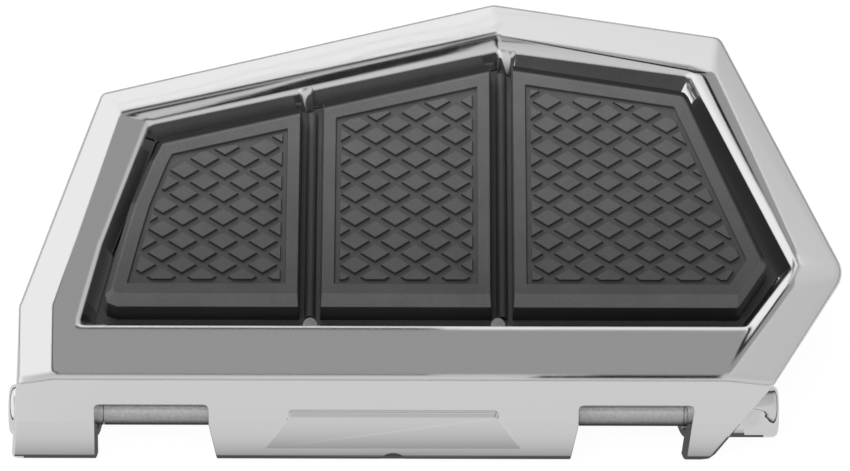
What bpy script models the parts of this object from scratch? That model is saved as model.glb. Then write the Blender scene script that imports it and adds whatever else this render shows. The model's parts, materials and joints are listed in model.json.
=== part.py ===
"""Folding motorcycle floorboard: a polished die-cast frame with a rubber tread mat, hung on two hinge pins.

X runs along the board, Y outboard from the hinge, Z up. The origin is the middle of the hinge axis.
Outlines go clockwise seen from above, and edge i runs from corner i to corner i + 1.
"""

import math

import bmesh
import bpy
from mathutils import Matrix, Vector

MM = 0.001

# Clearance between pieces that touch
GAP = 0.3 * MM

# Frame outlines: front left, left, back left, back peak, back right, right, front right, then
# the two bends of the front line, right and left, where the outer band begins to fall
EDGE_CORNERS = (
    (-118.7, -6.0), (-119.1, 24.2), (-95.5, 108.9),
    (32.0, 145.8), (106.3, 132.3), (143.8, 37.7),
    (120.2, -6.0), (105.2, -6.0), (-107.6, -6.0),
)
RIDGE_CORNERS = (
    (-107.6, -3.7), (-108.1, 23.2), (-89.2, 98.3),
    (33.6, 131.5), (103.5, 116.0), (130.0, 36.5),
    (105.2, -3.7), (101.5, -3.7), (-105.0, -3.7),
)
LIP_CORNERS = (
    (-100.6, 15.5), (-93.8, 48.6), (-80.2, 96.3),
    (33.4, 126.9), (96.2, 116.7), (127.3, 39.0),
    (111.9, 15.5), (95.0, 15.5), (-90.0, 15.5),
)
EDGE_RADII = (1.0, 2.0, 2.5, 4.0, 3.0, 11.0, 2.0, 0.0, 0.0)
RIDGE_RADII = (1.0, 6.0, 2.0, 4.0, 3.0, 24.0, 1.5, 0.0, 0.0)
LIP_RADII = (1.5, 6.0, 2.0, 2.0, 2.0, 1.5, 1.5, 0.0, 0.0)
CORNER_STEPS = (2, 3, 2, 3, 2, 6, 2, 0, 0)
LARGEST_CORNER_SHARE = 0.45
STRAIGHT = 0.0001

# Heights of the frame above the hinge axis
EDGE_Z = 24.0 * MM
RIDGE_Z = 26.0 * MM
LIP_Z = 25.0 * MM
FLOOR_TOP_Z = 14.4 * MM
FLOOR_THICKNESS = 3.0 * MM
RIM_FOOT_Z = 12.0 * MM
SKIRT_BOTTOM_Z = -13.0 * MM

# Walls of the frame
EDGE_ROUNDING = 1.5 * MM
FRONT_ROUNDING = 1.2 * MM
RIM_WALL = 2.8 * MM
RIM_TUCK_DEG = 22.0
RIDGE_SOFTENING = 0.7 * MM
RIDGE_DROP = 0.18 * MM
LIP_ROUNDING = 2.5 * MM
LIP_WALL_DEG = 27.0
LIP_WALL_THICKNESS = 2.8 * MM
ROOF_THICKNESS = 3.2 * MM
SKIRT_WALL = 5.0 * MM
SKIRT_LEAN = 0.172
SKIRT_BOTTOM_ROUNDING = 4.0 * MM
SKIRT_END_ROUNDING = 4.2 * MM
SKIRT_LEFT_SLANT = 0.093
SKIRT_RIGHT_SLANT = 0.574
ARC_STEPS = 4

# Pivot pins and what sits round them, from the pin outwards
PIN_DIAMETER = 6.6 * MM
PIN_HEAD_OVERHANG = 2.1 * MM
PIN_HEAD_HEIGHT = 3.6 * MM
PIN_SOCKET_ACROSS_FLATS = 4.0 * MM
PIN_SOCKET_DEPTH = 2.2 * MM
PIN_TAIL = 3.6 * MM
PIN_POINT_CHAMFER = 0.6 * MM
CLIP_THICKNESS = 0.8 * MM
CLIP_REACH = 2.0 * MM
CLIP_GROOVE_DEPTH = 0.85 * MM
CLIP_MOUTH = 4.6 * MM
CLIP_RELIEF = 0.7 * MM
BUSH_WALL = 1.2 * MM
OUTER_BUSH_LENGTH = 12.0 * MM
SLEEVE_WALL = 1.1 * MM
SPACER_WIDTH = 2.2 * MM

# Hinge lugs and cut-outs, measured outwards from the middle along X, the same on both sides
BARREL_WALL = 2.2 * MM
BARREL_END_ROUNDING = 2.0 * MM
LUG_END_ROUNDING = 0.4 * MM
COUNTERBORE_DEPTH = 5.5 * MM
INNER_LUG_LENGTH = 12.2 * MM
SLOT_INNER = 58.6 * MM
SLOT_OUTER = 94.8 * MM
OUTER_LUG_LENGTH = 27.4 * MM
SLOT_HEADROOM = 5.85 * MM
SLOT_KNEE_Z = 5.2 * MM
SLOT_KNEE_ROUNDING = 3.0 * MM
SLOT_INNER_FLARE = 3.1 * MM
SLOT_CORNER_ROUNDING = 1.5 * MM
LEFT_SLOT_FLARE = 1.0 * MM
LEFT_SLOT_DRAFT = 3.4 * MM
LEFT_SLOT_LEAN = 0.3 * MM
RIGHT_SLOT_FLARE = 2.1 * MM
RIGHT_SLOT_DRAFT = 4.2 * MM
RIGHT_SLOT_LEAN = 3.6 * MM
WEB_LENGTH = 9.9 * MM
WEB_FRONT_Y = -3.5 * MM
WEB_BACK_Y = 5.0 * MM

# Floor of the frame
RIB_WIDTH = 3.0 * MM
RIB_DEPTH = 4.5 * MM
CROSS_RIB_X = (-33.0, 34.4)
LONG_RIB_Y = (58.0,)
STUD_ROW_Y = 44.0
STUD_PLACES = (
    (-64.0, STUD_ROW_Y), (4.0, STUD_ROW_Y), (74.0, STUD_ROW_Y), (-50.0, 80.0), (4.0, 92.0), (64.0, 92.0),
)
STUD_BOSS_MARGIN = 1.5 * MM
STUD_BOSS_DEPTH = 1.0 * MM
STOP_PAD_X = 75.0 * MM
STOP_PAD_TO_BOSS = 1.5 * MM
STOP_PAD_LENGTH = 22.0 * MM
STOP_PAD_WIDTH = 12.0 * MM
STOP_PAD_Z = 3.0 * MM

# Raised panel and notch of the skirt
PANEL_CENTRE_X = -0.2 * MM
PANEL_PROUD = 1.7 * MM
PANEL_SUNK = 0.2 * MM
PANEL_TOP_Z = 10.8 * MM
PANEL_TOP_HALF = 33.7 * MM
PANEL_BOTTOM_Z = -7.5 * MM
PANEL_BOTTOM_HALF = 42.6 * MM
PANEL_TOP_DRAFT = 0.15 * MM
PANEL_SIDE_DRAFT = 0.9 * MM
PANEL_CORNER_ROUNDING = 1.2 * MM
NOTCH_RADIUS = 4.1 * MM
NOTCH_RISE = 5.8 * MM
NOTCH_DEPTH = 1.5 * MM

# Tread mat: outline at the lower edge of the chamfer, from the front left
MAT_CORNERS = (
    (-92.7, 22.7), (-87.5, 49.1), (-84.4, 63.2), (-79.0, 80.4), (-75.5, 89.1),
    (34.4, 119.9), (94.3, 108.7), (119.1, 39.6), (109.2, 22.7),
)
MAT_RADII = (4.0, 8.0, 8.0, 8.0, 1.5, 2.0, 4.0, 6.0, 1.5)
ISLAND_TOP_Z = 26.5 * MM
CHAMFER_WIDTH = 4.1 * MM
SIDE_CHAMFER_WIDTH = 2.3 * MM
CHAMFER_HEIGHT = 1.6 * MM
BORDER_WIDTH = 3.8 * MM
GROOVE_X = (-26.8, 34.4)
GROOVE_WIDTH = 7.0 * MM
GROOVE_EDGE_ROUNDING = 0.4 * MM
SMALLEST_ROUNDING = 0.3 * MM
FIELD_DEPTH = 0.8 * MM
FIELD_STEP = 0.3 * MM
WEB_THICKNESS = 1.5 * MM
GROOVE_RIB_WIDTH = 3.4 * MM
GROOVE_RIB_HEIGHT = 2.2 * MM

# Diamonds of the tread
DIAMOND_PITCH_X = 12.85 * MM
DIAMOND_PITCH_Y = 9.36 * MM
DIAMOND_SHARE = 0.74
DIAMOND_TOP_SHARE = 0.9
DIAMOND_BORDER = 1.7 * MM
DIAMOND_ROW_Y = 38.1 * MM
DIAMOND_COLUMN_X = (-54.7, 0.35, 62.05)
SMALLEST_DIAMOND = 3.0 * MM * MM

# Mat plate with its studs and nuts
PLATE_THICKNESS = 1.5 * MM
STUD_DIAMETER = 6.0 * MM
STUD_HEAD_DIAMETER = 10.0 * MM
NUT_ACROSS_FLATS = 10.0 * MM
NUT_FLANGE_OVERHANG = 2.0 * MM
NUT_FLANGE_HEIGHT = 1.4 * MM
NUT_HEIGHT = 6.0 * MM
STUD_BEYOND_NUT = 1.2 * MM

# Facets and shading
ROUND_SIDES = 24
BARREL_SIDES = 32
SMALL_SIDES = 12
SHARP_DEG = 20.0

# Heights of the mat stack, from the floor up
PLATE_BOTTOM_Z = FLOOR_TOP_Z + GAP
PLATE_TOP_Z = PLATE_BOTTOM_Z + PLATE_THICKNESS
MAT_BOTTOM_Z = PLATE_TOP_Z + GAP
WEB_TOP_Z = MAT_BOTTOM_Z + WEB_THICKNESS
FLOOR_BOTTOM_Z = FLOOR_TOP_Z - FLOOR_THICKNESS
NUT_TOP_Z = FLOOR_BOTTOM_Z - STUD_BOSS_DEPTH - GAP
NUT_FLANGE_RADIUS = NUT_ACROSS_FLATS / 2 + NUT_FLANGE_OVERHANG
STUD_BOSS_RADIUS = NUT_FLANGE_RADIUS + STUD_BOSS_MARGIN
STOP_PAD_Y = STUD_ROW_Y * MM - STUD_BOSS_RADIUS - STOP_PAD_TO_BOSS - STOP_PAD_WIDTH / 2

# Radii of the hinge parts
PIN_RADIUS = PIN_DIAMETER / 2
PIN_HEAD_RADIUS = PIN_RADIUS + PIN_HEAD_OVERHANG
CLIP_RADIUS = PIN_RADIUS + CLIP_REACH
PIN_BORE_RADIUS = PIN_RADIUS + GAP
HEAD_BORE_RADIUS = PIN_HEAD_RADIUS + GAP
BUSH_RADIUS = PIN_BORE_RADIUS + BUSH_WALL
BUSH_BORE_RADIUS = BUSH_RADIUS + GAP
SLEEVE_RADIUS = PIN_BORE_RADIUS + SLEEVE_WALL
SPOT_FACE_RADIUS = max(CLIP_RADIUS, SLEEVE_RADIUS) + CLIP_RELIEF
BARREL_RADIUS = max(HEAD_BORE_RADIUS, BUSH_BORE_RADIUS, SPOT_FACE_RADIUS) + BARREL_WALL

# Places of the hinge parts along X
INNER_LUG_START = SLOT_INNER - INNER_LUG_LENGTH
LARGEST_SLOT_DRAFT = max(LEFT_SLOT_DRAFT, RIGHT_SLOT_DRAFT)
LARGEST_SLOT_LEAN = max(LEFT_SLOT_LEAN, RIGHT_SLOT_LEAN)
OUTER_LUG_START = SLOT_OUTER - LARGEST_SLOT_DRAFT - LARGEST_SLOT_LEAN
BARREL_END = SLOT_OUTER + OUTER_LUG_LENGTH
HEAD_SEAT = BARREL_END - COUNTERBORE_DEPTH
SLEEVE_END = SLOT_OUTER - GAP - SPACER_WIDTH - GAP
CLIP_OUTER_FACE = INNER_LUG_START - GAP
SLOT_TOP_Z = BARREL_RADIUS + SLOT_HEADROOM

# How far a tool reaches past the face that it cuts
CUT = 2.0 * MM


def in_metres(corners):
    return [Vector((x * MM, y * MM)) for x, y in corners]


def inset(corners, distances):
    """Outline moved inwards, each edge by its own distance."""
    moved = []
    for index, corner in enumerate(corners):
        before = (corner - corners[index - 1]).normalized()
        after = (corners[(index + 1) % len(corners)] - corner).normalized()
        in_before = Vector((before.y, -before.x))
        in_after = Vector((after.y, -after.x))
        spread = in_before.x * in_after.y - in_before.y * in_after.x
        by_before = distances[index - 1]
        by_after = distances[index]
        if abs(spread) < STRAIGHT:
            moved.append(corner + in_after * by_after)
            continue
        shift_x = (by_before * in_after.y - by_after * in_before.y) / spread
        shift_y = (by_after * in_before.x - by_before * in_after.x) / spread
        moved.append(corner + Vector((shift_x, shift_y)))
    return moved


def inset_evenly(corners, distance):
    return inset(corners, [distance] * len(corners))


def rounded(corners, heights, radii, steps):
    """Ring of points, each at its corner's height. A corner with steps is an arc, one without is a point."""
    ring = []
    for index, corner in enumerate(corners):
        if steps[index] == 0:
            ring.append(Vector((*corner, heights[index])))
            continue
        to_before = corners[index - 1] - corner
        to_after = corners[(index + 1) % len(corners)] - corner
        half = to_before.angle(to_after) / 2
        longest = LARGEST_CORNER_SHARE * min(to_before.length, to_after.length)
        reach = min(radii[index] / math.tan(half), longest)
        halfway = (to_before.normalized() + to_after.normalized()).normalized()
        centre = corner + halfway * reach / math.cos(half)
        start = corner + to_before.normalized() * reach - centre
        end = corner + to_after.normalized() * reach - centre
        first = math.atan2(start.y, start.x)
        sweep = math.remainder(math.atan2(end.y, end.x) - first, 2 * math.pi)
        for step in range(steps[index] + 1):
            angle = first + sweep * step / steps[index]
            point = centre + start.length * Vector((math.cos(angle), math.sin(angle)))
            ring.append(Vector((point.x, point.y, heights[index])))
    return ring


def level(corners, height, radii, steps):
    return rounded(corners, [height] * len(corners), radii, steps)


def upright(corners, y, radii, steps):
    """Ring in an upright plane, from corners in (X, Z)."""
    return [Vector((point.x, y, point.y)) for point in level(corners, y, radii, steps)]


def loft(rings):
    """Closed skin over rings of equal point count, capped at both ends."""
    model = bmesh.new()
    rows = [[model.verts.new(point) for point in ring] for ring in rings]
    for lower, upper in zip(rows, rows[1:]):
        for index in range(len(lower)):
            ahead = (index + 1) % len(lower)
            model.faces.new((lower[index], lower[ahead], upper[ahead], upper[index]))
    model.faces.new(rows[0])
    model.faces.new(rows[-1][::-1])
    bmesh.ops.recalc_face_normals(model, faces=model.faces)
    return model


def box(low, high):
    model = bmesh.new()
    middle = (Vector(low) + Vector(high)) / 2
    size = Vector(high) - Vector(low)
    matrix = Matrix.Translation(middle) @ Matrix.Diagonal((*size, 1.0))
    bmesh.ops.create_cube(model, size=1.0, matrix=matrix)
    return model


def upright_cylinder(place, radius, low, high, sides):
    model = bmesh.new()
    matrix = Matrix.Translation((place[0], place[1], (low + high) / 2))
    bmesh.ops.create_cone(
        model, cap_ends=True, segments=sides, radius1=radius, radius2=radius, depth=high - low, matrix=matrix
    )
    return model


def together(models):
    """One bmesh that holds several shapes."""
    whole = bmesh.new()
    for model in models:
        mesh = bpy.data.meshes.new("shape")
        model.to_mesh(mesh)
        model.free()
        whole.from_mesh(mesh)
        bpy.data.meshes.remove(mesh)
    return whole


def new_collection(name):
    collection = bpy.data.collections.new(name)
    bpy.context.scene.collection.children.link(collection)
    return collection


def material(name, colour, metallic, roughness):
    made = bpy.data.materials.new(name)
    made.use_nodes = True
    shader = made.node_tree.nodes["Principled BSDF"]
    shader.inputs["Base Color"].default_value = (*colour, 1.0)
    shader.inputs["Metallic"].default_value = metallic
    shader.inputs["Roughness"].default_value = roughness
    return made


def place_mesh(name, mesh, finish):
    """A sub-part of the board."""
    made = bpy.data.objects.new(name, mesh)
    mesh.materials.clear()
    mesh.materials.append(finish)
    PARTS.objects.link(made)
    return made


def part_from(name, model, finish):
    mesh = bpy.data.meshes.new(name)
    model.to_mesh(mesh)
    model.free()
    return place_mesh(name, mesh, finish)


def tool_object(name, model):
    """A shape that only cuts or joins another."""
    mesh = bpy.data.meshes.new(name)
    model.to_mesh(mesh)
    model.free()
    made = bpy.data.objects.new(name, mesh)
    TOOLS.objects.link(made)
    made.hide_render = True
    made.display_type = "WIRE"
    return made


def apply_tool(target, tool, operation):
    modifier = target.modifiers.new(tool.name, "BOOLEAN")
    modifier.operation = operation
    modifier.object = tool
    modifier.solver = "EXACT"


def turned(name, profile, sides, side, collection):
    """Turns (radius, distance along X) points about the hinge axis, outwards on the given side."""
    mesh = bpy.data.meshes.new(name)
    model = bmesh.new()
    verts = [model.verts.new((radius, 0.0, along)) for radius, along in profile]
    for first, second in zip(verts, verts[1:]):
        model.edges.new((first, second))
    if profile[0][0] > 0.0:
        model.edges.new((verts[-1], verts[0]))
    model.to_mesh(mesh)
    model.free()
    made = bpy.data.objects.new(name, mesh)
    collection.objects.link(made)
    made.rotation_euler = (0.0, side * math.pi / 2, 0.0)
    screw = made.modifiers.new("turn", "SCREW")
    screw.steps = sides
    screw.render_steps = sides
    screw.use_merge_vertices = True
    screw.merge_threshold = 0.00001
    return made


def turned_part(name, profile, sides, side, finish):
    made = turned(name, profile, sides, side, PARTS)
    made.data.materials.append(finish)
    return made


def turned_tool(name, profile, sides, side):
    made = turned(name, profile, sides, side, TOOLS)
    made.hide_render = True
    made.display_type = "WIRE"
    return made


def tube_profile(inner, outer, start, end):
    return [(outer, end), (outer, start), (inner, start), (inner, end)]


def skirt_y(height):
    """Outer face of the skirt at a height. It leans out from the front edge downwards."""
    return EDGE[0].y + SKIRT_LEAN * (height - EDGE_Z)


def wall_corners(height, setback=0.0):
    """Inner wall of the frame round the mat at a height, moved inwards by the setback."""
    return inset_evenly(LIP, (LIP_Z - height) * math.tan(math.radians(LIP_WALL_DEG)) + setback)


def wall_ring(height, setback=0.0):
    return level(wall_corners(height, setback), height, LIP_ARCS, CORNER_STEPS)


def lip_rings():
    """Rounding from the inner wall up to the flat, from the inside out."""
    rings = []
    steepest = math.radians(90.0 - LIP_WALL_DEG)
    for step in range(ARC_STEPS, -1, -1):
        angle = steepest * step / ARC_STEPS
        inwards = LIP_ROUNDING * (math.sin(angle) - math.sin(steepest) / 2)
        height = LIP_Z - LIP_ROUNDING * (1 - math.cos(angle))
        rings.append(level(inset_evenly(LIP, inwards), height, LIP_ARCS, CORNER_STEPS))
    return rings


def front_rounding(top_z, turn):
    """Point (Y, Z) on the rounding between a level top and the skirt, by its angle from the top."""
    centre_z = top_z - FRONT_ROUNDING
    centre_y = skirt_y(centre_z) + FRONT_ROUNDING * math.hypot(1.0, SKIRT_LEAN)
    return centre_y - FRONT_ROUNDING * math.sin(turn), centre_z + FRONT_ROUNDING * math.cos(turn)


def edge_shell(ends, middle, end_tuck, tuck, height):
    """Ring outside the frame. ends and middle are the front's (Y, Z) beyond and between its two bends."""
    left, *around, right, right_bend, left_bend = inset_evenly(EDGE, tuck)
    left.y, left_z = ends
    right.y, right_z = ends
    left_bend.y, left_bend_z = middle
    right_bend.y, right_bend_z = middle
    drop = max(EDGE_Z - left_z, 0.0)
    into_rounding = max(SKIRT_BOTTOM_Z + SKIRT_END_ROUNDING - left_z, 0.0)
    rounded_off = SKIRT_END_ROUNDING - math.sqrt(max(SKIRT_END_ROUNDING**2 - into_rounding**2, 0.0))
    left_shift = rounded_off + end_tuck - SKIRT_LEFT_SLANT * drop
    right_shift = -rounded_off - end_tuck - SKIRT_RIGHT_SLANT * drop
    left.x = FRONT_LEFT_X + left_shift
    left_bend.x += left_shift
    right.x = FRONT_RIGHT_X + right_shift
    right_bend.x += right_shift
    heights = [left_z, *[height] * len(around), right_z, right_bend_z, left_bend_z]
    return [left, *around, right, right_bend, left_bend], heights


def skirt_shell(front_y, front_z, tuck, height):
    """Ring outside the frame below its top rounding."""
    return edge_shell((front_y, front_z), (front_y, front_z), 0.0, tuck, height)


def ridge_rings():
    """Softened ridge between the flat and the outer band. It keeps its height along the front."""
    inner = level(inset_evenly(RIDGE, RIDGE_SOFTENING), RIDGE_Z, RIDGE_ARCS, CORNER_STEPS)
    corners = inset_evenly(RIDGE, -RIDGE_SOFTENING)
    bends = [RIDGE_Z, RIDGE_Z]
    heights = [RIDGE_Z - RIDGE_DROP] * (len(corners) - len(bends)) + bends
    return [inner, rounded(corners, heights, RIDGE_ARCS, CORNER_STEPS)]


def edge_rings():
    """Rounding from the outer band round the edge, and along the front from the ridge into the skirt."""
    rings = []
    centre_z = EDGE_Z - EDGE_ROUNDING
    for step in range(ARC_STEPS + 1):
        angle = (math.pi / 2 + math.radians(RIM_TUCK_DEG)) * step / ARC_STEPS
        turn = (math.pi / 2 - math.atan(SKIRT_LEAN)) * step / ARC_STEPS
        height = centre_z + EDGE_ROUNDING * math.cos(angle)
        tuck = EDGE_ROUNDING * (1 - math.sin(angle))
        end_tuck = EDGE_ROUNDING * (1 - math.sin(turn))
        ends = front_rounding(EDGE_Z, turn)
        middle = front_rounding(RIDGE_Z, turn)
        rings.append(rounded(*edge_shell(ends, middle, end_tuck, tuck, height), EDGE_ARCS, CORNER_STEPS))
    return rings


def foot_rings(slope, foot_tuck):
    """Foot of the rim, which is the rounded lower edge of the skirt at the front."""
    rings = []
    lean = math.atan(SKIRT_LEAN)
    centre_z = SKIRT_BOTTOM_Z + SKIRT_BOTTOM_ROUNDING
    start_z = centre_z + SKIRT_BOTTOM_ROUNDING * math.sin(lean)
    centre_y = skirt_y(start_z) + SKIRT_BOTTOM_ROUNDING * math.cos(lean)
    for step in range(ARC_STEPS + 1):
        angle = lean - (math.pi / 2 + lean) * step / ARC_STEPS
        front_y = centre_y - SKIRT_BOTTOM_ROUNDING * math.cos(angle)
        front_z = centre_z + SKIRT_BOTTOM_ROUNDING * math.sin(angle)
        above = EDGE_ROUNDING * (1 - step / ARC_STEPS)
        shell = skirt_shell(front_y, front_z, foot_tuck - above * slope, RIM_FOOT_Z + above)
        rings.append(rounded(*shell, EDGE_ARCS, CORNER_STEPS))
    return rings


def inner_ring(height, tuck, front_z):
    """Ring on the inner face of the rim and skirt walls."""
    corners, heights = skirt_shell(skirt_y(front_z) + SKIRT_WALL, front_z, tuck + RIM_WALL, height)
    left, *between, right, right_bend, left_bend = corners
    left.x += RIM_WALL
    right.x -= RIM_WALL
    return rounded([left, *between, right, right_bend, left_bend], heights, EDGE_ARCS, CORNER_STEPS)


def frame_rings():
    """Rings of the cast shell, from the floor over the rim and round its foot to below the floor."""
    slope = math.tan(math.radians(RIM_TUCK_DEG))
    edge_centre_z = EDGE_Z - EDGE_ROUNDING
    foot_tuck = (edge_centre_z - RIM_FOOT_Z) * slope
    roof_z = EDGE_Z - ROOF_THICKNESS
    setback = -LIP_WALL_THICKNESS / math.cos(math.radians(LIP_WALL_DEG))
    return [
        wall_ring(FLOOR_TOP_Z),
        *lip_rings(),
        *ridge_rings(),
        *edge_rings(),
        *foot_rings(slope, foot_tuck),
        inner_ring(RIM_FOOT_Z, foot_tuck, SKIRT_BOTTOM_Z),
        inner_ring(roof_z, (edge_centre_z - roof_z) * slope, roof_z),
        wall_ring(LIP_Z - ROOF_THICKNESS, setback),
        wall_ring(FLOOR_BOTTOM_Z, setback),
    ]


def crossings(outline, axis, value):
    """Lowest and highest crossing of a ring with a line across the given axis."""
    found = []
    other = 1 - axis
    for index, point in enumerate(outline):
        previous = outline[index - 1]
        if (point[axis] - value) * (previous[axis] - value) < 0.0:
            share = (value - previous[axis]) / (point[axis] - previous[axis])
            found.append(previous[other] + share * (point[other] - previous[other]))
    return min(found), max(found)


def floor_ribs():
    """Ribs under the floor, each from wall to wall."""
    setback = -LIP_WALL_THICKNESS / 2
    outline = wall_ring(FLOOR_BOTTOM_Z, setback)
    low = FLOOR_BOTTOM_Z - RIB_DEPTH
    high = FLOOR_BOTTOM_Z + FLOOR_THICKNESS / 2
    cross = []
    for place in CROSS_RIB_X:
        middle = place * MM
        near, far = crossings(outline, 0, middle)
        cross.append(box((middle - RIB_WIDTH / 2, near, low), (middle + RIB_WIDTH / 2, far, high)))
    along = []
    for place in LONG_RIB_Y:
        middle = place * MM
        left, right = crossings(outline, 1, middle)
        along.append(box((left, middle - RIB_WIDTH / 2, low), (right, middle + RIB_WIDTH / 2, high)))
    return together(cross), together(along)


def barrel_profile(start, end, rounding):
    centre = BARREL_RADIUS - rounding
    profile = [(0.0, end)]
    for step in range(ARC_STEPS + 1):
        angle = math.pi / 2 * (1 - step / ARC_STEPS)
        profile.append((centre + rounding * math.cos(angle), end - rounding + rounding * math.sin(angle)))
    profile.append((BARREL_RADIUS, start))
    profile.append((0.0, start))
    return profile


def bore_profile():
    """Stepped bore from the pin's head seat through both lugs to the clip relief."""
    spot = SPOT_FACE_RADIUS
    bush_seat = SLOT_OUTER + OUTER_BUSH_LENGTH + GAP
    relief_end = INNER_LUG_START - PIN_TAIL - GAP
    return [
        (0.0, BARREL_END + CUT),
        (HEAD_BORE_RADIUS, BARREL_END + CUT),
        (HEAD_BORE_RADIUS, HEAD_SEAT),
        (PIN_BORE_RADIUS, HEAD_SEAT),
        (PIN_BORE_RADIUS, bush_seat),
        (BUSH_BORE_RADIUS, bush_seat),
        (BUSH_BORE_RADIUS, SLOT_OUTER),
        (spot, SLOT_OUTER),
        (spot, SLOT_INNER + CUT),
        (BUSH_BORE_RADIUS, SLOT_INNER + CUT),
        (BUSH_BORE_RADIUS, INNER_LUG_START),
        (spot, INNER_LUG_START),
        (spot, relief_end),
        (0.0, relief_end),
    ]


def slot_outline(side, outer, lean):
    """Cut-out of the skirt in (X, Z), up to the given outer wall, which leans inwards towards the bottom."""
    bottom = SKIRT_BOTTOM_Z - CUT
    corners = [
        (SLOT_INNER - SLOT_INNER_FLARE, bottom),
        (SLOT_INNER, SLOT_KNEE_Z),
        (SLOT_INNER, SLOT_TOP_Z),
        (outer, SLOT_TOP_Z),
        (outer - lean, bottom),
    ]
    return [Vector((side * x, z)) for x, z in corners]


def slot_tool(side, flare, draft, lean):
    """Cut-out whose outer wall flares at the front and drafts inwards towards the back."""
    front = skirt_y(SKIRT_BOTTOM_Z) - CUT
    back = BARREL_RADIUS + CUT
    sharp = SMALLEST_ROUNDING
    radii = (sharp, SLOT_KNEE_ROUNDING, SLOT_CORNER_ROUNDING, SLOT_CORNER_ROUNDING, sharp)
    rings = []
    for outer, y in ((SLOT_OUTER + flare, front), (SLOT_OUTER - draft, back)):
        rings.append(upright(slot_outline(side, outer, lean), y, radii, (1, 2, 2, 2, 1)))
    return loft(rings)


def panel_model():
    """Raised trapezoid on the skirt, which runs out into the skirt's face at its lower edge."""
    back = []
    front = []
    proud = []
    for side, half, z, draft, out in (
        (-1, PANEL_BOTTOM_HALF, PANEL_BOTTOM_Z, 0.0, -PANEL_SUNK),
        (-1, PANEL_TOP_HALF, PANEL_TOP_Z, PANEL_TOP_DRAFT, PANEL_PROUD),
        (1, PANEL_TOP_HALF, PANEL_TOP_Z, PANEL_TOP_DRAFT, PANEL_PROUD),
        (1, PANEL_BOTTOM_HALF, PANEL_BOTTOM_Z, 0.0, -PANEL_SUNK),
    ):
        back.append(Vector((PANEL_CENTRE_X + side * half, z)))
        front.append(Vector((PANEL_CENTRE_X + side * (half - PANEL_SIDE_DRAFT), z - draft)))
        proud.append(out)
    radii = (SMALLEST_ROUNDING, PANEL_CORNER_ROUNDING, PANEL_CORNER_ROUNDING, SMALLEST_ROUNDING)
    steps = (1, 2, 2, 1)
    back_ring = upright(back, skirt_y(0.0) + SKIRT_WALL / 2, radii, steps)
    front_ring = []
    for point in rounded(front, proud, radii, steps):
        front_ring.append(Vector((point.x, skirt_y(point.y) - point.z, point.y)))
    return loft([back_ring, front_ring])


def notch_model():
    """Round scoop out of the skirt's lower edge, in the middle of the panel."""
    model = bmesh.new()
    front = skirt_y(SKIRT_BOTTOM_Z) - CUT
    centre_z = SKIRT_BOTTOM_Z + NOTCH_RISE - NOTCH_RADIUS
    back = skirt_y(centre_z) + NOTCH_DEPTH
    centre = Vector((PANEL_CENTRE_X, (front + back) / 2, centre_z))
    matrix = Matrix.Translation(centre) @ Matrix.Rotation(math.pi / 2, 4, "X")
    bmesh.ops.create_cone(
        model,
        cap_ends=True,
        segments=ROUND_SIDES,
        radius1=NOTCH_RADIUS,
        radius2=NOTCH_RADIUS,
        depth=back - front,
        matrix=matrix,
    )
    return model


def frame_casting():
    frame = part_from("frame_casting", loft(frame_rings()), CHROME)
    roof = EDGE_Z - ROOF_THICKNESS / 2
    for side, hand in ((-1, "left"), (1, "right")):
        profile = barrel_profile(INNER_LUG_START, SLOT_INNER, LUG_END_ROUNDING)
        apply_tool(frame, turned_tool(hand + "_inner_lug", profile, BARREL_SIDES, side), "UNION")
        profile = barrel_profile(OUTER_LUG_START, BARREL_END, BARREL_END_ROUNDING)
        apply_tool(frame, turned_tool(hand + "_barrel", profile, BARREL_SIDES, side), "UNION")
    webs = []
    for side in (-1, 1):
        for start, end in ((INNER_LUG_START, SLOT_INNER), (OUTER_LUG_START, SLOT_OUTER + WEB_LENGTH)):
            ends = sorted((side * start, side * end))
            webs.append(box((ends[0], WEB_FRONT_Y, 0.0), (ends[1], WEB_BACK_Y, roof)))
    apply_tool(frame, tool_object("lug_webs", together(webs)), "UNION")
    pads = []
    in_floor = FLOOR_TOP_Z - FLOOR_THICKNESS / 2
    for side in (-1, 1):
        middle = side * STOP_PAD_X
        low = (middle - STOP_PAD_LENGTH / 2, STOP_PAD_Y - STOP_PAD_WIDTH / 2, STOP_PAD_Z)
        high = (middle + STOP_PAD_LENGTH / 2, STOP_PAD_Y + STOP_PAD_WIDTH / 2, in_floor)
        pads.append(box(low, high))
    apply_tool(frame, tool_object("stop_pads", together(pads)), "UNION")
    cross, along = floor_ribs()
    apply_tool(frame, tool_object("cross_ribs", cross), "UNION")
    apply_tool(frame, tool_object("long_ribs", along), "UNION")
    bosses = []
    holes = []
    hole = STUD_DIAMETER / 2 + GAP
    for place in STUDS:
        low = FLOOR_BOTTOM_Z - STUD_BOSS_DEPTH
        bosses.append(upright_cylinder(place, STUD_BOSS_RADIUS, low, in_floor, ROUND_SIDES))
        holes.append(upright_cylinder(place, hole, low - CUT, FLOOR_TOP_Z + CUT, SMALL_SIDES))
    apply_tool(frame, tool_object("stud_bosses", together(bosses)), "UNION")
    apply_tool(frame, tool_object("skirt_panel", panel_model()), "UNION")
    apply_tool(frame, tool_object("stud_holes", together(holes)), "DIFFERENCE")
    apply_tool(frame, tool_object("notch", notch_model()), "DIFFERENCE")
    left_slot = slot_tool(-1, LEFT_SLOT_FLARE, LEFT_SLOT_DRAFT, LEFT_SLOT_LEAN)
    right_slot = slot_tool(1, RIGHT_SLOT_FLARE, RIGHT_SLOT_DRAFT, RIGHT_SLOT_LEAN)
    for side, hand, slot in ((-1, "left", left_slot), (1, "right", right_slot)):
        apply_tool(frame, tool_object(hand + "_slot", slot), "DIFFERENCE")
        apply_tool(frame, turned_tool(hand + "_bore", bore_profile(), ROUND_SIDES, side), "DIFFERENCE")


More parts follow.
